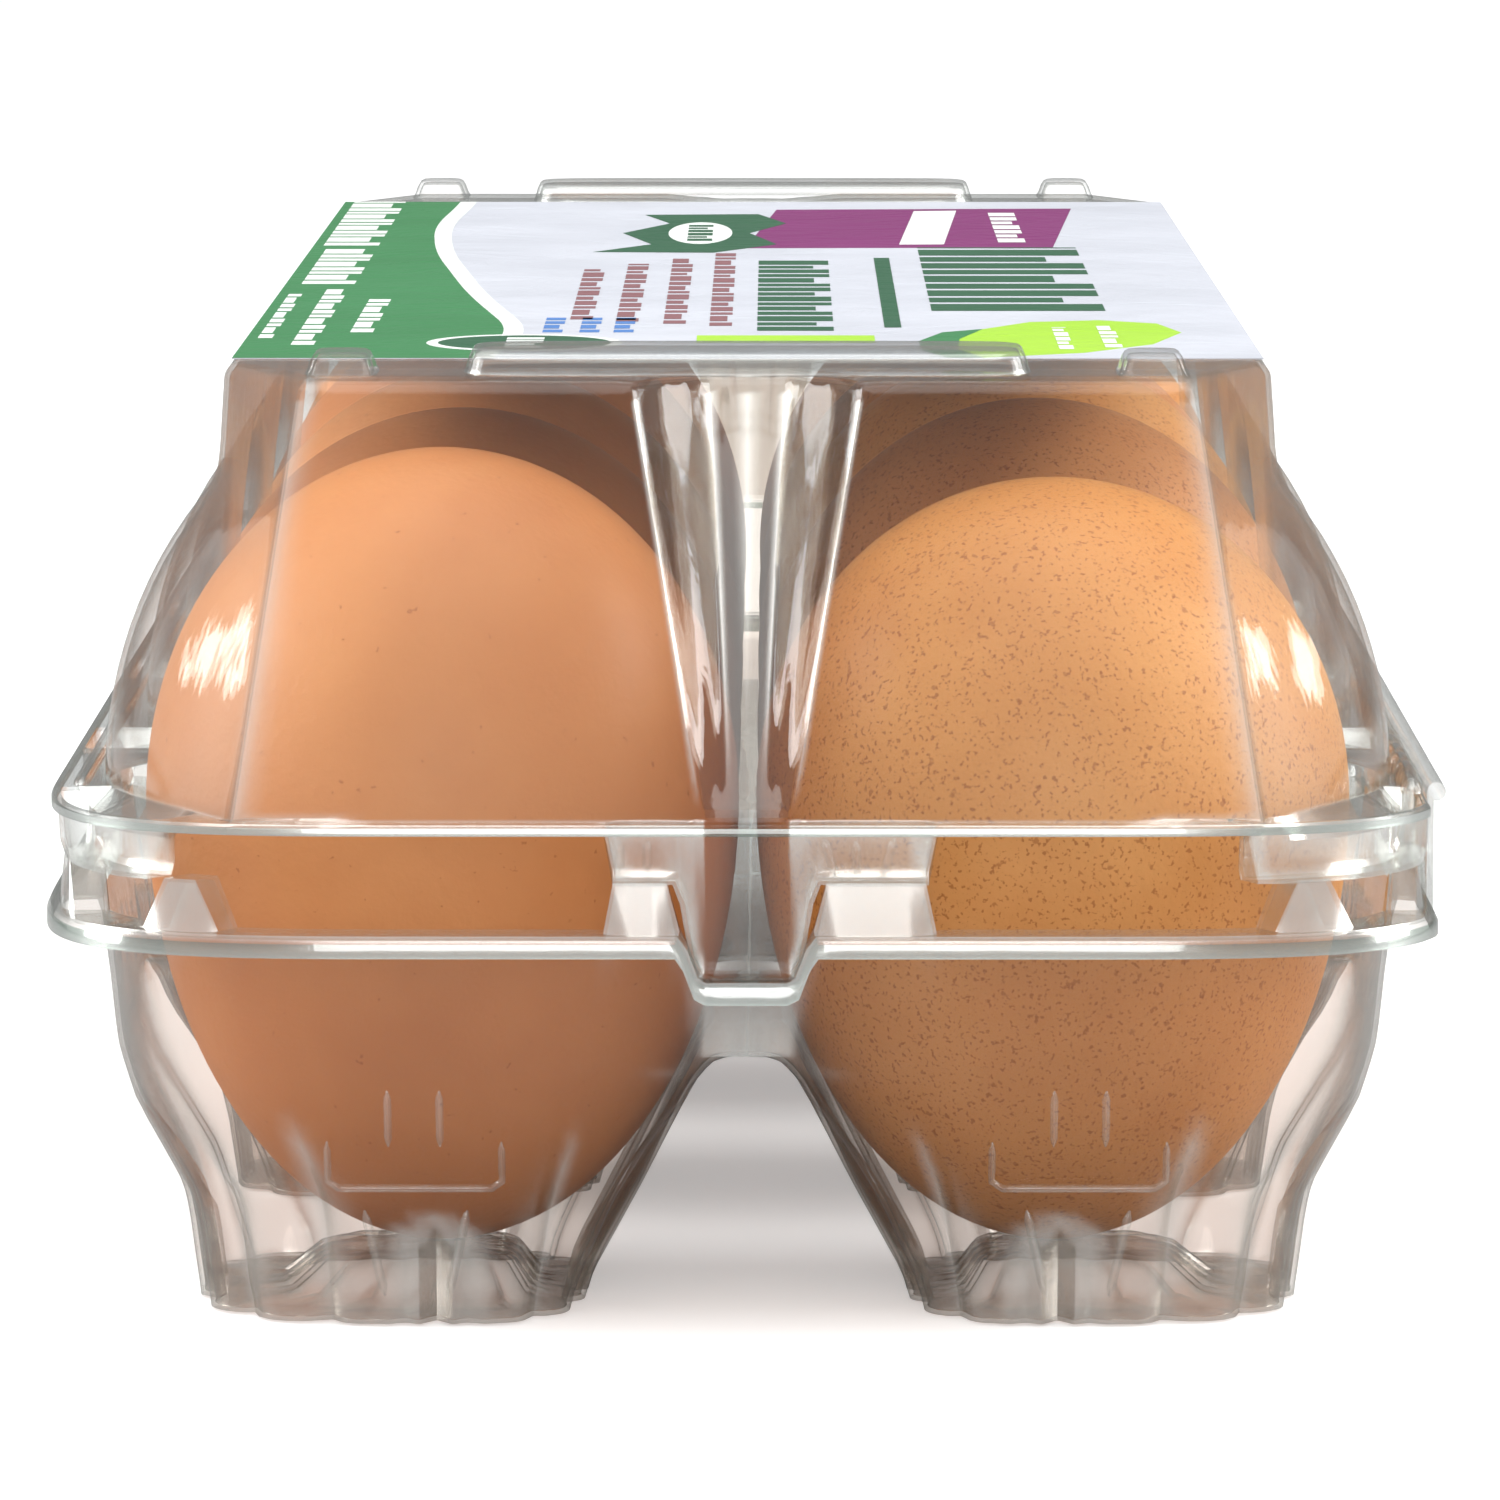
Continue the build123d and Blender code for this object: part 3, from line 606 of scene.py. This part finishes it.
def lid_quarter(z):
    """Lid wall in the quarter with x and y positive, from the end panel's middle to the side's."""
    share = (z - LID_RIM) / (ROOF - LID_RIM)
    trim = rounding(z)
    panel_y = PANEL_FOOT - PANEL_LEAN * share - trim
    ridge_x = CORNER_FOOT - CORNER_LEAN * share - trim
    block_x = PILLAR_FOOT - PILLAR_LEAN * share - trim
    mouth = GROOVE_FOOT + GROOVE_SPREAD * share
    depth = GROOVE_DEPTH * share ** 0.85
    xs = list(np.linspace(0, mouth, GROOVE_STEPS + 1))
    xs += list(mouth + (ridge_x - 0.9 - mouth) * PANEL_SHARES)[1:]
    points = []
    for x in xs:
        fall = min(1.0, max(0.0, (mouth - x) / (0.62 * mouth)))
        crest = 0.35 * math.exp(-((x - mouth) / 0.7) ** 2) * min(1.0, 3 * share) * (1 - trim / ROOF_EDGE)
        streaks = 0.3 * share * math.sin(x / mouth * 15) if x < mouth else 0
        points.append((x, panel_y - depth * fall + crest + streaks))
    points.append((ridge_x + 0.25, panel_y + 0.45 * (1 - trim / ROOF_EDGE)))
    r_d = dome_radius(z)
    circle = [(r_d * math.cos(a), r_d * math.sin(a)) for a in np.linspace(0, math.pi / 2, 26)]
    ridge = (ridge_x + 0.5 - COLUMN, panel_y - 0.5 - END_ROW)
    start = math.atan2(ridge[1], ridge[0])
    angles = np.linspace(start - 0.012, 0, CORNER_STEPS)
    outline = [(block_x - COLUMN, 0), ridge]
    if r_d > 1:
        outline += [c for c in circle if math.atan2(c[1], c[0]) < start]
    reach = hull_reach(outline, angles)
    points += [(COLUMN + r * math.cos(a), END_ROW + r * math.sin(a)) for r, a in zip(reach, angles)]
    for y in np.linspace(END_ROW, 0, SIDE_COUNT)[1:]:
        x = block_x
        for axis_y in (0, PITCH, END_ROW):
            left = r_d * r_d - (y - axis_y) ** 2
            if left > 0:
                dome_x = COLUMN + math.sqrt(left)
                x = 0.5 * (x + dome_x + math.sqrt((x - dome_x) ** 2 + 0.5)) if dome_x > x - 3 else x
        points.append((x, y))
    return points


def lid_ring(z):
    """Whole lid outline, counter-clockwise from the middle of the front."""
    quarter = lid_quarter(z)
    right_front = [(x, -y) for x, y in quarter]
    right_rear = quarter[::-1][1:]
    left_rear = [(-x, y) for x, y in quarter[1:]]
    left_front = [(-x, -y) for x, y in quarter[::-1][1:-1]]
    return np.array(right_front + right_rear + left_rear + left_front)


lid_skin = Skin()
base = lid_ring(LID_LEVELS[0])
LID_END_LUGS = ((-9.9, 13.4), (36.9, 47), (-47, -40.4))
LID_CORNER_LUG = (100.5, 106)
LID_LUG_DROP = 4.2
TONGUE_HALF, TONGUE_DROP = 4.2, 6.8
at_end = np.abs(base[:, 1]) > END_ROW + 12
side_y = np.abs(base[:, 1])
lid_lug_x = sum(inside(base[:, 0], low, high) for low, high in LID_END_LUGS)
lid_lug_y = sum(inside(side_y, b - SIDE_LUG_HALF, b + SIDE_LUG_HALF) for b in SIDE_LUG_ROWS)
lid_lug_y = lid_lug_y + inside(side_y, *LID_CORNER_LUG)
lid_lug = np.clip(np.where(at_end, lid_lug_x, lid_lug_y), 0, 1)
tongue = inside(base[:, 0], -TONGUE_HALF, TONGUE_HALF, 0.8) * (np.abs(base[:, 1]) > END_ROW)


def lid_edge(reach, limit):
    """Ring on the lid's flange, reach outside the outer egg axes."""
    return edge_ring(base, reach, limit)


def drawn(in_reach, out_reach, limit):
    """Ring that lies at in_reach where a lug or the tongue stands, and at out_reach elsewhere."""
    share = lid_lug[:, None]
    return lid_edge(in_reach, limit) * share + lid_edge(out_reach, limit) * (1 - share)


low = LID_RIM - LID_LUG_DROP * lid_lug - TONGUE_DROP * tongue
LID_BROW = [  # from the trimmed lip up, across the flange, round the lugs and in to the wall's foot
    (lid_edge(EDGE, LID_HINGE_EDGE), LID_RIM - 0.8),
    (lid_edge(EDGE, LID_HINGE_EDGE), LID_RIM - 0.2),
    (lid_edge(EDGE - 0.15, LID_HINGE_EDGE - 0.15), LID_RIM),
    (lid_edge(28.3, 50.0), LID_RIM),
    (lid_edge(28.0, 49.8), LID_RIM * 0.2 + low * 0.8),
    (lid_edge(27.8, 49.7), low),
    (drawn(25.9, 27.4, 49.2), low),
    (drawn(25.7, 27.2, 49.1), LID_RIM * 0.15 + low * 0.85),
    (drawn(26.0, 27.05, 48.9), LID_RIM * 0.6 + low * 0.4),
]
above = None
for points, heights in LID_BROW:
    ring = lid_skin.ring(points, heights)
    if above:
        lid_skin.band(above, ring)
    above = ring
for z in LID_LEVELS:
    ring = lid_skin.ring(lid_ring(z), z)
    lid_skin.band(above, ring)
    above = ring
lid_skin.cap(above)
lid = lid_skin.piece("lid_sheet")
lid.data.materials.append(CLEAR)
lid.data.materials.append(CUT_EDGE)
mark_cut_edge(lid, LID_RIM - 1.4, LID_RIM - 0.15, LID_HINGE_EDGE)
lid.data.materials.append(GROOVE_PAINTED_SHADE)
for face in lid.data.polygons:
    x, y, z = (c / MM for c in face.center)
    mouth = GROOVE_FOOT - 0.2 + GROOVE_SPREAD * (z - LID_RIM) / (ROOF - LID_RIM)
    if abs(x) < mouth and abs(y) > 98 and LID_RIM + 0.5 < z < ROOF - 0.6:
        face.material_index = 2  # the groove is drawn thin; its darker, browner tint is painted shade
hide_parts("lid")
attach(lid, "lid")

# Small moulded pocket on the centre lug of each end, beside the tongue, and pips on its other half.
# They are part of the lid's sheet, raised by the mould.
pocket_skin = Skin()
LUG_FACE = END_ROW + 28.15
POCKET_LINES = [[(5.6, 37.6), (6.4, 34.9)], [(7.9, 37.4), (8.0, 34.9)], [(10.7, 37.6), (9.9, 34.9)],
                [(6.2, 34.8), (10.1, 34.8)], [(-9.2, 37.4), (-9.2, 35.2)], [(-7.2, 37.4), (-7.2, 35.2)]]
for end in (-1, 1):
    for (xa, za), (xb, zb) in POCKET_LINES:
        steps = np.linspace(0, 1, 7)
        points = [(xa + (xb - xa) * t, end * LUG_FACE, za + (zb - za) * t) for t in steps]
        raised_line(pocket_skin, points, (0, end, 0), 0.4, 0.7)
pocket = pocket_skin.piece("lug_pockets", 0.15, 50)
pocket.data.materials.append(MARK_CLEAR)
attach(pocket, "lid")

# Raised pads on the roof, at the front and the rear: a long bridge between two short bumps that
# keep the next carton in place when they are stacked. They are part of the lid's sheet.
PAD_TOP = 71.5
BRIDGE_HALF = 21
BRIDGE_EDGES = (93.4, 106.6)  # near and far edge, from the middle
BUMP_SIDES = (27.3, 32.7)
BUMP_EDGES = (99.5, 106.9)
PAD_STEPS = ((0, 0), (0.25, 0.25), (0.65, 0.5), (0.88, 0.75), (0.97, 1.05), (1, 1.5))  # share of rise, inset


def pad(name, x0, x1, y0, y1, shrink):
    """Open-bottomed raised pad on the roof, with leaning sides and rounded edges."""
    skin = Skin()
    cx, cy, hx, hy = (x0 + x1) / 2, (y0 + y1) / 2, (x1 - x0) / 2, (y1 - y0) / 2
    angles = np.linspace(0, 2 * math.pi, 96, endpoint=False)
    below = None
    for share, inset in PAD_STEPS:
        ax, ay = hx - inset * shrink, hy - inset * shrink
        r = (np.abs(np.cos(angles)) ** 7 + np.abs(np.sin(angles)) ** 7) ** (-1 / 7)
        xy = np.stack([cx + ax * r * np.cos(angles), cy + ay * r * np.sin(angles)], 1)
        ring = skin.ring(xy, ROOF + (PAD_TOP - ROOF) * share)
        if below:
            skin.band(below, ring)
        below = ring
    skin.cap(below)
    made = skin.piece(name, 0.35, 40)
    made.data.materials.append(CLEAR)
    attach(made, "lid")


for end in (-1, 1):
    place = "front" if end < 0 else "rear"
    near, far = sorted(edge * end for edge in BRIDGE_EDGES)
    pad(f"bridge_{place}", -BRIDGE_HALF, BRIDGE_HALF, near, far, 0.7)
    near, far = sorted(edge * end for edge in BUMP_EDGES)
    for side in (-1, 1):
        x0, x1 = sorted(edge * side for edge in BUMP_SIDES)
        pad(f"bump_{place}_{'left' if side < 0 else 'right'}", x0, x1, near, far, 0.9)

# Stiffening beads along the lid's flange: half-round and finely ribbed on the hinge side in three
# lengths with plain round ends between them, and one low plain bead along the latch side.
bead_skin = Skin()
BEAD_X, BEAD_RADIUS = 49.4, 0.85
LATCH_BEAD_X = -49.9
HINGE_HALF = 103.4  # half the hinge's length
BEAD_SPAN = HINGE_HALF * 2 / 3


def bead(skin, x, y0, y1, radius, rise, wave, pitch):
    """Half-round bead along the flange, its radius swelling and falling to make the ribs."""
    count = int((y1 - y0) / 0.45)
    rows = []
    for i in range(count + 1):
        y = y0 + (y1 - y0) * i / count
        end = min(1.0, min(y - y0, y1 - y) / 1.2)
        swell = math.sqrt(max(0.0, 1 - (1 - end) ** 2)) * (1 - wave * abs(math.sin(math.pi * y / pitch)) ** 6)
        first = len(skin.points)
        for k in range(13):
            a = math.pi * k / 12
            height = LID_RIM + rise * swell * math.sin(a) + 0.02
            skin.points.append((x + radius * swell * math.cos(a), y, height))
        rows.append(list(range(first, first + 13)))
    for a, b in zip(rows, rows[1:]):
        skin.band(a, b, turned=True, closed=False)


for i in range(3):
    start = BEAD_SPAN * i - HINGE_HALF
    bead(bead_skin, BEAD_X, start + 2.2, start + BEAD_SPAN - 2.2, BEAD_RADIUS, 1.45, 0.35, 5.4)
for y in (-HINGE_HALF, -34.5, 34.5, HINGE_HALF):
    bead(bead_skin, BEAD_X, y - 1.7, y + 1.7, 0.8, 1.1, 0, 1)
bead(bead_skin, LATCH_BEAD_X, -100, 100, 0.6, 0.55, 0, 1)
beads = bead_skin.piece("flange_beads", 0.25, 60)
beads.data.materials.append(CLEAR)
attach(beads, "lid")

# ---------------------------------------------------------------- label
# Thin printed film stuck to the roof between the bridges: silvery white ground with a dark green
# wave along the latch side and generic print that reads from that side.
LABEL_X, LABEL_Y, LABEL_Z = 38.8, 92.3, 69.93  # half sizes and underside
FILM = 0.1
PRINT_LONG, PRINT_HIGH = 1120, 700  # units that the print is laid out in


def film_material(name, colour, second):
    """Printed film: one ink with faint mottling, lightly glossy, creased a little where it is stuck."""
    made, tree, out = new_material(name)
    link = tree.links.new
    where = node(tree, "ShaderNodeTexCoord")
    cloud = node(tree, "ShaderNodeTexNoise", in_Scale=55.0, in_Detail=5.0, in_Roughness=0.6)
    link(where.outputs["Object"], cloud.inputs["Vector"])
    tone = node(tree, "ShaderNodeMix", data_type="RGBA")
    tone.inputs[6].default_value = (*colour, 1)
    tone.inputs[7].default_value = (*second, 1)
    link(cloud.outputs["Fac"], tone.inputs[0])
    crease = node(tree, "ShaderNodeTexNoise", in_Scale=85.0, in_Detail=5.0, in_Distortion=2.5)
    link(where.outputs["Object"], crease.inputs["Vector"])
    bump = node(tree, "ShaderNodeBump", in_Strength=0.8, in_Distance=0.0006)
    link(crease.outputs["Fac"], bump.inputs["Height"])
    body = node(tree, "ShaderNodeBsdfPrincipled", in_Roughness=0.42)
    body.inputs["Specular IOR Level"].default_value = 0.12
    link(tone.outputs[2], body.inputs["Base Color"])
    link(bump.outputs[0], body.inputs["Normal"])
    link(body.outputs[0], out.inputs["Surface"])
    return made


INKS = {
    "ground": film_material("ink_ground", (0.42, 0.435, 0.48), (0.62, 0.64, 0.70)),
    "green": film_material("ink_green", (0.035, 0.17, 0.06), (0.05, 0.22, 0.085)),
    "dark": film_material("ink_dark_green", (0.02, 0.085, 0.045), (0.035, 0.12, 0.06)),
    "lime": film_material("ink_lime", (0.30, 0.55, 0.03), (0.38, 0.63, 0.06)),
    "purple": film_material("ink_purple", (0.16, 0.02, 0.11), (0.22, 0.035, 0.16)),
    "brown": film_material("ink_brown", (0.20, 0.09, 0.10), (0.26, 0.12, 0.13)),
    "blue": film_material("ink_blue", (0.06, 0.17, 0.45), (0.09, 0.22, 0.52)),
    "white": film_material("ink_white", (0.66, 0.70, 0.66), (0.78, 0.80, 0.78)),
}


def from_print(u, v):
    """Place on the roof of a point of the print: u runs front to rear, v hinge side to latch side."""
    return LABEL_X - v * 2 * LABEL_X / PRINT_HIGH, -LABEL_Y + u * 2 * LABEL_Y / PRINT_LONG


clear_selection()
bpy.ops.mesh.primitive_cube_add(size=1, location=(0, 0, (LABEL_Z + FILM / 2) * MM))
film = bpy.context.object
bpy.ops.transform.resize(value=(2 * LABEL_X * MM, 2 * LABEL_Y * MM, FILM * MM))
finish_piece(film, "label_film", 30)
film.data.materials.append(INKS["ground"])
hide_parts("label")
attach(film, "lid")

# Print: flat shapes laid on the film in units of its length and height, one piece for each ink and
# layer, a hair above the one under it. Lines of words are plain blocks that don't say anything.
INK_STEP, INK_THICK = 0.012, 0.01
RIM_HIGH = 14
print_layers = {}


def printed(ink, outline, layer=1):
    """Adds a flat printed shape, outline given in print units, to the ink's own mesh."""
    points = print_layers.setdefault((ink, layer), [])
    points.append([(*from_print(u, v), LABEL_Z + FILM + INK_STEP * layer) for u, v in outline])


def bar(ink, u0, u1, v0, v1, layer=1):
    """Adds a printed oblong."""
    printed(ink, [(u0, v0), (u1, v0), (u1, v1), (u0, v1)], layer)


def words(ink, u0, u1, v0, v1, widths, gap, layer=2):
    """A line of print as plain blocks of the given widths, with gaps between them."""
    u, i = u0, 0
    while u < u1:
        end = min(u1, u + widths[i % len(widths)])
        drop = (v1 - v0) * (0.22 if i % 3 == 1 else 0.0)
        bar(ink, u, end, v0 + drop, v1, layer)
        u, i = end + gap, i + 1


def oval(ink, cu, cv, ru, rv, layer=1):
    """Adds a printed oval, given its middle and half sizes."""
    turns = np.linspace(0, 2 * math.pi, 40, endpoint=False)
    printed(ink, [(cu + ru * math.cos(a), cv + rv * math.sin(a)) for a in turns], layer)


wave_u = np.linspace(0, PRINT_LONG, 60)
wave_v = np.interp(wave_u, [0, 150, 400, 700, 900, PRINT_LONG], [540, 515, 560, 600, 612, 600])
wave_v = np.convolve(np.pad(wave_v, 4, mode="edge"), np.ones(9) / 9, mode="valid")
for ua, ub, va, vb in zip(wave_u, wave_u[1:], wave_v, wave_v[1:]):
    printed("green", [(ua, va), (ub, vb), (ub, PRINT_HIGH), (ua, PRINT_HIGH)])
    printed("white", [(ua, va - RIM_HIGH), (ub, vb - RIM_HIGH), (ub, vb), (ua, va)])
leaf = [(2, 190), (30, 120), (80, 70), (150, 46), (205, 60), (226, 100), (214, 150), (170, 185), (110, 203),
        (50, 206)]
printed("lime", leaf)
leaf_shade = [(2, 190), (50, 206), (110, 203), (170, 185), (150, 214), (96, 232), (40, 230), (2, 214)]
printed("green", leaf_shade, 2)
words("white", 60, 190, 92, 104, [18, 26, 12], 7, 3)
words("white", 50, 180, 126, 136, [22, 14, 20], 7, 3)
words("dark", 285, 735, 92, 218, [44, 30, 38, 34], 12)
bar("dark", 180, 655, 242, 254, 2)
words("dark", 160, 640, 290, 344, [24, 18, 30, 20], 9)
for v in (370, 403, 437, 470):
    words("brown", 190 + (v - 370) * 0.4, 690 - (v - 370) * 1.2, v - 8, v + 8, [20, 32, 14, 26], 9)
printed("purple", [(735, 110), (1060, 80), (1050, 330), (730, 355)])
printed("white", [(760, 196), (1040, 178), (1036, 214), (758, 232)], 2)
words("white", 775, 1020, 130, 152, [30, 22, 26], 10, 3)
ribbon = [(695, 380), (760, 330), (850, 352), (930, 322), (1010, 345), (1004, 440), (930, 418), (850, 455),
          (760, 430), (700, 475)]
printed("dark", ribbon, 2)
oval("white", 850, 392, 88, 26, 3)
words("dark", 785, 915, 382, 402, [18, 12, 20], 7, 4)
oval("white", 88, 505, 50, 68, 2)
oval("dark", 88, 505, 42, 60, 3)
words("white", 56, 120, 492, 518, [12, 8, 14], 5, 4)
for v in (438, 462, 488):
    words("blue", 150, 240, v - 7, v + 7, [16, 22], 7)
bar("lime", 88, 132, 262, 386, 1)
BAND_LINES = [(150, 360, 614, 630), (75, 430, 650, 666), (115, 400, 682, 692), (465, 725, 648, 688),
              (750, 1120, 648, 692)]
for u0, u1, v0, v1 in BAND_LINES:
    words("white", u0, u1, v0, v1, [22, 34, 16], 8, 2)

for (ink, layer), outlines in print_layers.items():
    mesh = bpy.data.meshes.new(f"print_{ink}_{layer}")
    points = [tuple(c * MM for c in p) for outline in outlines for p in outline]
    faces, first = [], 0
    for outline in outlines:
        faces.append(tuple(range(first, first + len(outline))))
        first += len(outline)
    mesh.from_pydata(points, [], faces)
    work = bmesh.new()
    work.from_mesh(mesh)
    for face in work.faces:
        if face.normal.z < 0:
            face.normal_flip()
    bmesh.ops.solidify(work, geom=work.faces[:], thickness=INK_THICK * MM)
    bmesh.ops.recalc_face_normals(work, faces=work.faces)
    work.to_mesh(mesh)
    work.free()
    ink_piece = bpy.data.objects.new(mesh.name, mesh)
    bpy.context.scene.collection.objects.link(ink_piece)
    ink_piece.data.materials.append(INKS[ink])
    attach(ink_piece, "lid")

# ---------------------------------------------------------------- floor and light
# Plain white table that runs up behind the carton, under soft white panels and a pale sky. It looks
# whiter to the camera than to the sheet and the eggs, so that they aren't washed out from below.
FLOOR_SIZE = (6, 4, 1)
FLOOR_PLACE = (0, 0.6, -0.0002)  # a hair under the feet
BACK_EDGE = 2  # y beyond which an edge of the table is its far one
BACK_RUN, BACK_RISE = 0.4, 2.5
CAMERA_PLACE = (0.0019, -0.780, 0.1255)
CAMERA_DOWN, CAMERA_TURN = 7.06, 0.144  # degrees
clear_selection()
bpy.ops.mesh.primitive_plane_add(size=1, location=FLOOR_PLACE)
floor = bpy.context.object
bpy.ops.transform.resize(value=FLOOR_SIZE)
floor.name = "table"
bpy.ops.object.transform_apply(location=True, scale=True)
bpy.ops.object.mode_set(mode="EDIT")
bpy.ops.mesh.select_mode(type="EDGE")
bpy.ops.mesh.select_all(action="DESELECT")
bpy.ops.object.mode_set(mode="OBJECT")
for edge in floor.data.edges:
    edge.select = all(floor.data.vertices[v].co.y > BACK_EDGE for v in edge.vertices)
bpy.ops.object.mode_set(mode="EDIT")
bpy.ops.mesh.extrude_region_move(TRANSFORM_OT_translate={"value": (0, BACK_RUN, BACK_RISE)})
bpy.ops.mesh.select_all(action="SELECT")
bpy.ops.mesh.normals_make_consistent(inside=False)
bpy.ops.object.mode_set(mode="OBJECT")
white, tree, out = new_material("table_white")
matt = node(tree, "ShaderNodeBsdfPrincipled", in_Roughness=0.6)
seen = node(tree, "ShaderNodeLightPath")
tone = node(tree, "ShaderNodeMix", data_type="RGBA")
tone.inputs[6].default_value = (0.42, 0.42, 0.42, 1)
tone.inputs[7].default_value = (0.8, 0.8, 0.8, 1)
tree.links.new(seen.outputs["Is Camera Ray"], tone.inputs[0])
tree.links.new(tone.outputs[2], matt.inputs["Base Color"])
matt.inputs["Emission Color"].default_value = (1, 1, 1, 1)
place = node(tree, "ShaderNodeTexCoord")
parts = node(tree, "ShaderNodeSeparateXYZ")
far = node(tree, "ShaderNodeMapRange", in_From_Min=0.15, in_From_Max=1.0, in_To_Min=0.38, in_To_Max=0.56)
near = node(tree, "ShaderNodeMath", operation="MULTIPLY")
tree.links.new(place.outputs["Object"], parts.inputs[0])
tree.links.new(parts.outputs["Y"], far.inputs["Value"])
tree.links.new(far.outputs[0], near.inputs[0])
tree.links.new(seen.outputs["Is Camera Ray"], near.inputs[1])
tree.links.new(near.outputs[0], matt.inputs["Emission Strength"])
tree.links.new(matt.outputs[0], out.inputs["Surface"])
floor.data.materials.append(white)


def panel_light(name, place, aim, size, energy, tall=None):
    """A soft square or oblong light at place, facing aim."""
    data = bpy.data.lights.new(name, "AREA")
    data.energy = energy
    data.shape = "RECTANGLE"
    data.size = size
    data.size_y = tall or size
    lamp = bpy.data.objects.new(name, data)
    bpy.context.scene.collection.objects.link(lamp)
    lamp.location = place
    away = [a - p for a, p in zip(aim, place)]
    flat = math.hypot(away[0], away[1])
    lamp.rotation_euler = (math.atan2(flat, -away[2]), 0, math.atan2(-away[0], away[1]))


panel_light("over", (0, -0.2, 0.8), (0, 0, 0.03), 0.8, 4.3)
panel_light("left_panel", (-0.72, -0.02, 0.3), (0, -0.02, 0.05), 0.42, 5.0, 0.55)
panel_light("right_panel", (0.72, -0.02, 0.32), (0, -0.02, 0.05), 0.42, 5.4, 0.55)
panel_light("front_fill", (0, -1.45, 0.42), (0, 0, 0.04), 0.5, 3.0)

bpy.context.scene.cycles.transparent_max_bounces = 64  # ten nested clear cells stand in one line of sight
bpy.context.scene.view_settings.view_transform = "Standard"
world = bpy.data.worlds.new("studio")
bpy.context.scene.world = world
world.use_nodes = True
world.node_tree.nodes["Background"].inputs["Color"].default_value = (1, 1, 1, 1)
world.node_tree.nodes["Background"].inputs["Strength"].default_value = 0.78

lens = bpy.data.cameras.new("camera")
lens.lens = 220
lens.sensor_width = 36
camera = bpy.data.objects.new("camera", lens)
bpy.context.scene.collection.objects.link(camera)
camera.location = CAMERA_PLACE
camera.rotation_euler = (math.radians(90 - CAMERA_DOWN), 0, math.radians(CAMERA_TURN))
bpy.context.scene.camera = camera
